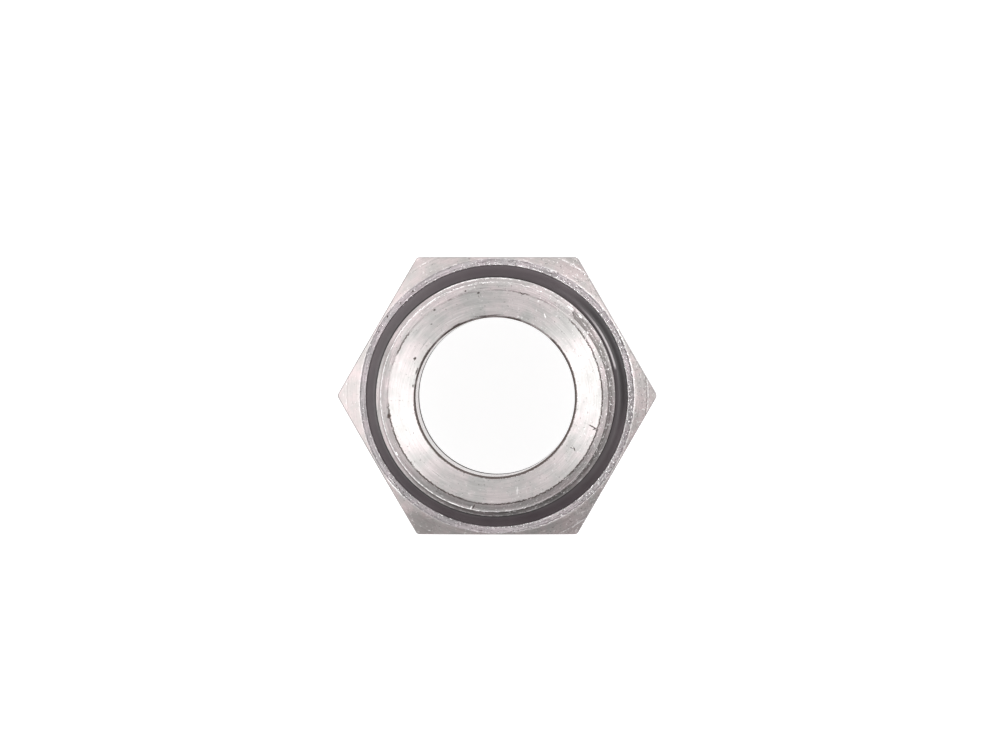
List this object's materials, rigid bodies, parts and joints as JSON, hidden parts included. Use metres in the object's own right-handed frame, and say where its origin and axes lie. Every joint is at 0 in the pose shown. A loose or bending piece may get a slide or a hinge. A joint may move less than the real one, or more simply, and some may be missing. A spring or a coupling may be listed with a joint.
{
  "type": "face seal fitting",
  "caption": "Hexagon adapter fitting with a threaded male stud, a rubber ring captured in a face groove, a plain flow bore and a female port behind.",
  "frame": {"origin": "on the fitting's axis, at its back face, on which it stands", "axes": "+Z along the axis, from the back face to the stud's tip; two flats of the hexagon face +Y and -Y"},
  "size_m": [0.0256, 0.0222, 0.029],
  "materials": {
    "metal": "turned, as machined",
    "rubber": "smooth, matt"
  },
  "bodies": {
    "root": {"fitting_body": "metal", "seal_ring": "rubber"}
  },
  "joints": []
}
